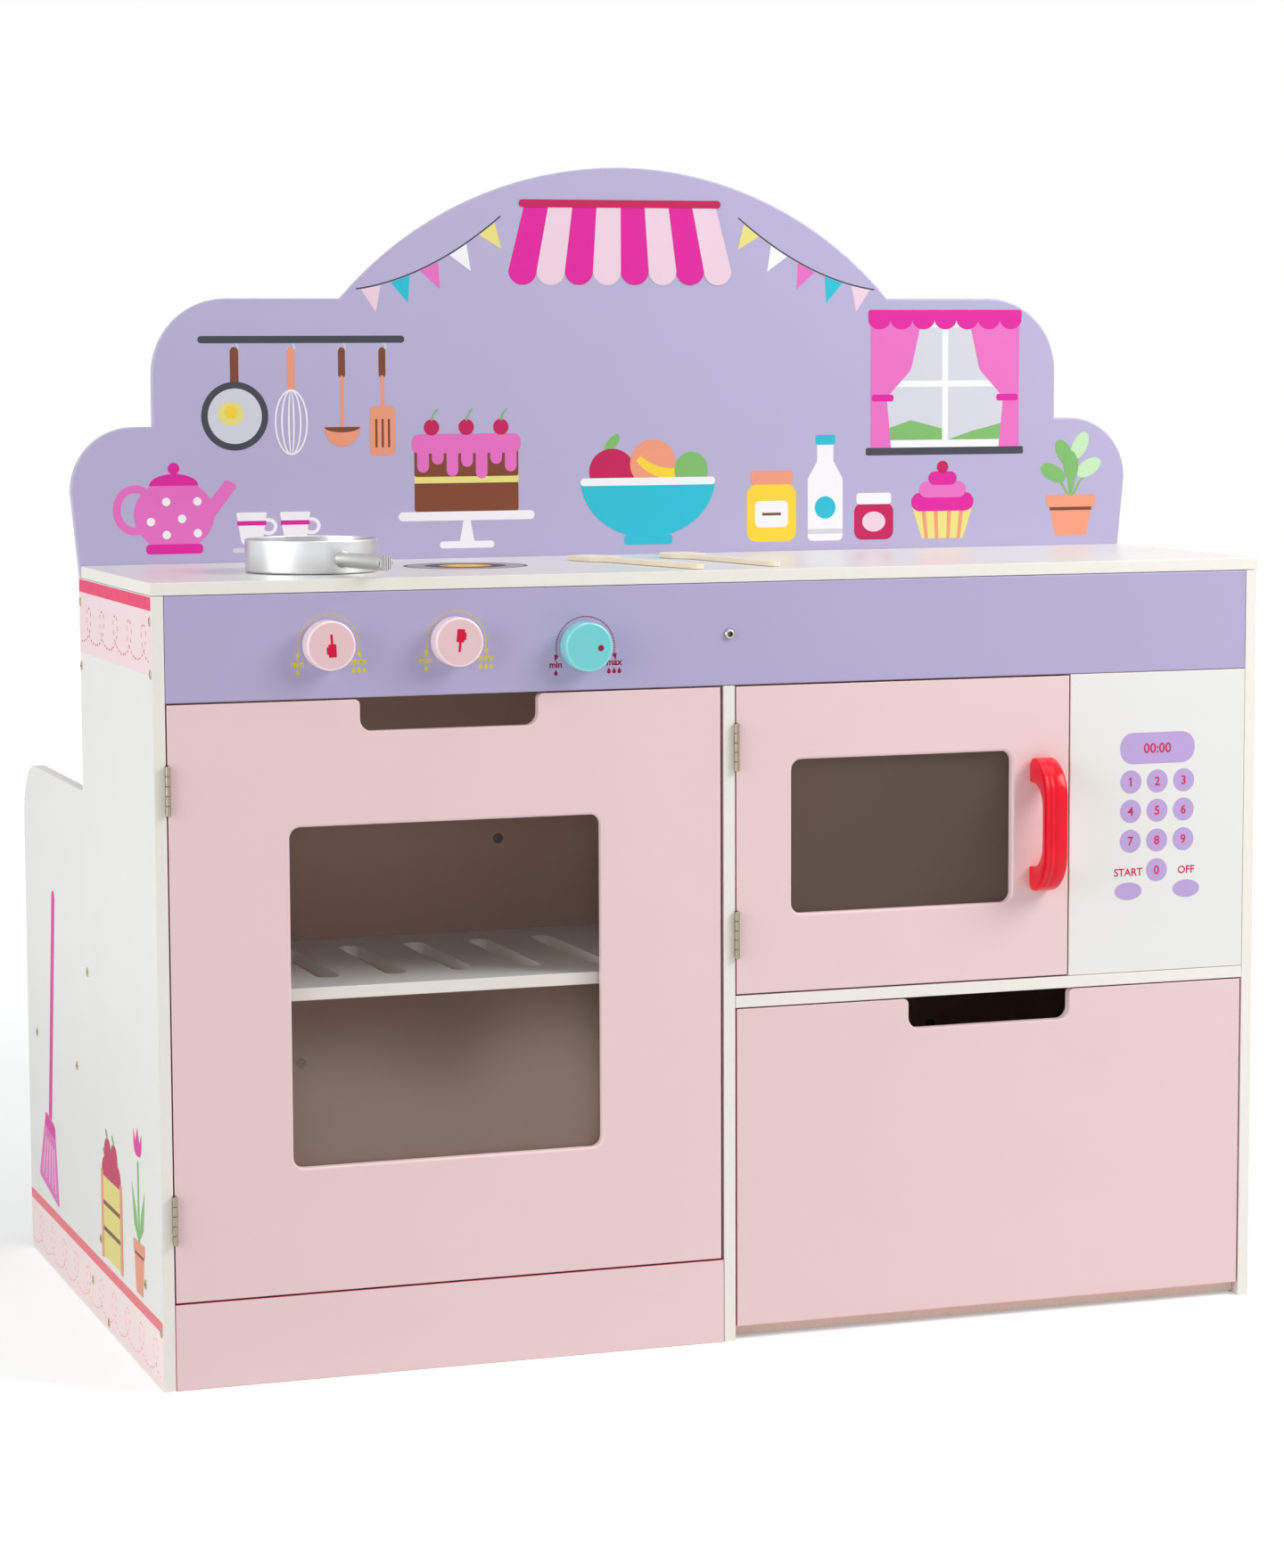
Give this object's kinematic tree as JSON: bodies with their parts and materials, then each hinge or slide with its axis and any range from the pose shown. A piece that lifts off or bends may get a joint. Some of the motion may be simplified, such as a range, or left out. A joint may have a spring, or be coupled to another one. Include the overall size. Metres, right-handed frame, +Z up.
{
  "type": "toy kitchen",
  "caption": "Toy kitchen of painted boards: glazed oven and microwave doors, keypad panel, storage drawer, control knobs, domed backboard, and a low seat board at the back.",
  "frame": {"origin": "on the floor, under the middle of the object's box", "axes": "+X to the right seen from the front, +Y from the front to the back, +Z up"},
  "size_m": [0.872, 0.531, 0.876],
  "materials": {
    "white_paint": "satin white paint on 9 mm board",
    "backboard_paint": "satin lavender paint on board, with printed kitchen pictures",
    "lavender_paint": "satin lavender paint on board, with printed dials",
    "pink_paint": "satin pale pink paint on board",
    "bare_board": "unpainted board, cut edge",
    "red_plastic": "glossy moulded red plastic",
    "pink_plastic": "glossy moulded pale pink plastic",
    "teal_plastic": "glossy moulded teal plastic",
    "white_plastic": "moulded white plastic",
    "clear_acrylic": "clear acrylic sheet with a slight smoke tint",
    "nickel": "thin stamped steel, dull nickel plate",
    "steel": "zinc-plated steel",
    "aluminium": "spun aluminium, brushed",
    "beech": "bare pale beech, sanded"
  },
  "bodies": {
    "cabinet": {"side_panel_left": "white_paint", "side_panel_right": "white_paint", "worktop": "white_paint", "backboard": "backboard_paint", "lower_back_board": "white_paint", "seat_board": "white_paint", "seat_bolt_1": "steel", "seat_bolt_2": "steel", "seat_bolt_3": "steel", "seat_bolt_4": "steel", "control_fascia": "lavender_paint", "fascia_screw": "steel", "divider": "white_paint", "base_board": "bare_board", "plinth": "pink_paint", "oven_floor": "white_paint", "microwave_floor": "white_paint", "oven_rack": "white_paint", "keypad_panel": "white_paint", "oven_hinge_upper_frame_leaf": "nickel", "oven_hinge_upper_pin": "nickel", "oven_hinge_lower_frame_leaf": "nickel", "oven_hinge_lower_pin": "nickel", "microwave_hinge_upper_frame_leaf": "nickel", "microwave_hinge_upper_pin": "nickel", "microwave_hinge_lower_frame_leaf": "nickel", "microwave_hinge_lower_pin": "nickel", "oven_catch": "white_plastic", "microwave_catch": "white_plastic", "drawer_glide_left": "white_plastic", "drawer_glide_right": "white_plastic"},
    "oven_door_assembly": {"oven_door": "pink_paint", "oven_window": "clear_acrylic", "oven_hinge_upper_door_leaf": "nickel", "oven_hinge_lower_door_leaf": "nickel", "oven_strike_plate": "steel"},
    "microwave_door_assembly": {"microwave_door": "pink_paint", "microwave_window": "clear_acrylic", "microwave_handle": "red_plastic", "handle_screw_lower": "steel", "handle_screw_upper": "steel", "microwave_hinge_upper_door_leaf": "nickel", "microwave_hinge_lower_door_leaf": "nickel", "microwave_strike_plate": "steel"},
    "drawer": {"drawer_front": "pink_paint", "drawer_side_left": "white_paint", "drawer_side_right": "white_paint", "drawer_back": "white_paint", "drawer_bottom": "white_paint"},
    "left_knob": {"knob_left": "pink_plastic", "knob_left_screw": "steel"},
    "middle_knob": {"knob_middle": "pink_plastic", "knob_middle_screw": "steel"},
    "right_knob": {"knob_right": "teal_plastic", "knob_right_screw": "steel"},
    "pan": {"saucepan": "aluminium", "saucepan_handle": "aluminium"},
    "wooden_spatula": {"spatula": "beech"},
    "wooden_spoon": {"spoon": "beech"}
  },
  "joints": [
    {"name": "oven_door_hinge", "type": "hinge", "parent": "cabinet", "child": "oven_door_assembly", "pos_m": [-0.42045, -0.2368, 0.2765], "axis": [0, 0, -1], "range_deg": [0, 180]},
    {"name": "microwave_door_hinge", "type": "hinge", "parent": "cabinet", "child": "microwave_door_assembly", "pos_m": [0.00395, -0.2368, 0.3753], "axis": [0, 0, -1], "range_deg": [0, 170]},
    {"name": "drawer_slide", "type": "slide", "parent": "cabinet", "child": "drawer", "axis": [0, -1, 0], "range_m": [0, 0.18]},
    {"name": "left_knob_turn", "type": "hinge", "parent": "cabinet", "child": "left_knob", "pos_m": [-0.3045, -0.2345, 0.5288], "axis": [0, -1, 0], "continuous": true},
    {"name": "middle_knob_turn", "type": "hinge", "parent": "cabinet", "child": "middle_knob", "pos_m": [-0.2105, -0.2345, 0.5288], "axis": [0, -1, 0], "continuous": true},
    {"name": "right_knob_turn", "type": "hinge", "parent": "cabinet", "child": "right_knob", "pos_m": [-0.1135, -0.2345, 0.5226], "axis": [0, -1, 0], "continuous": true},
    {"name": "pan_lift", "type": "slide", "parent": "cabinet", "child": "pan", "axis": [0, 0, 1], "range_m": [0, 0.2]},
    {"name": "spatula_lift", "type": "slide", "parent": "cabinet", "child": "wooden_spatula", "axis": [0, 0, 1], "range_m": [0, 0.2]},
    {"name": "spoon_lift", "type": "slide", "parent": "cabinet", "child": "wooden_spoon", "axis": [0, 0, 1], "range_m": [0, 0.2]}
  ]
}
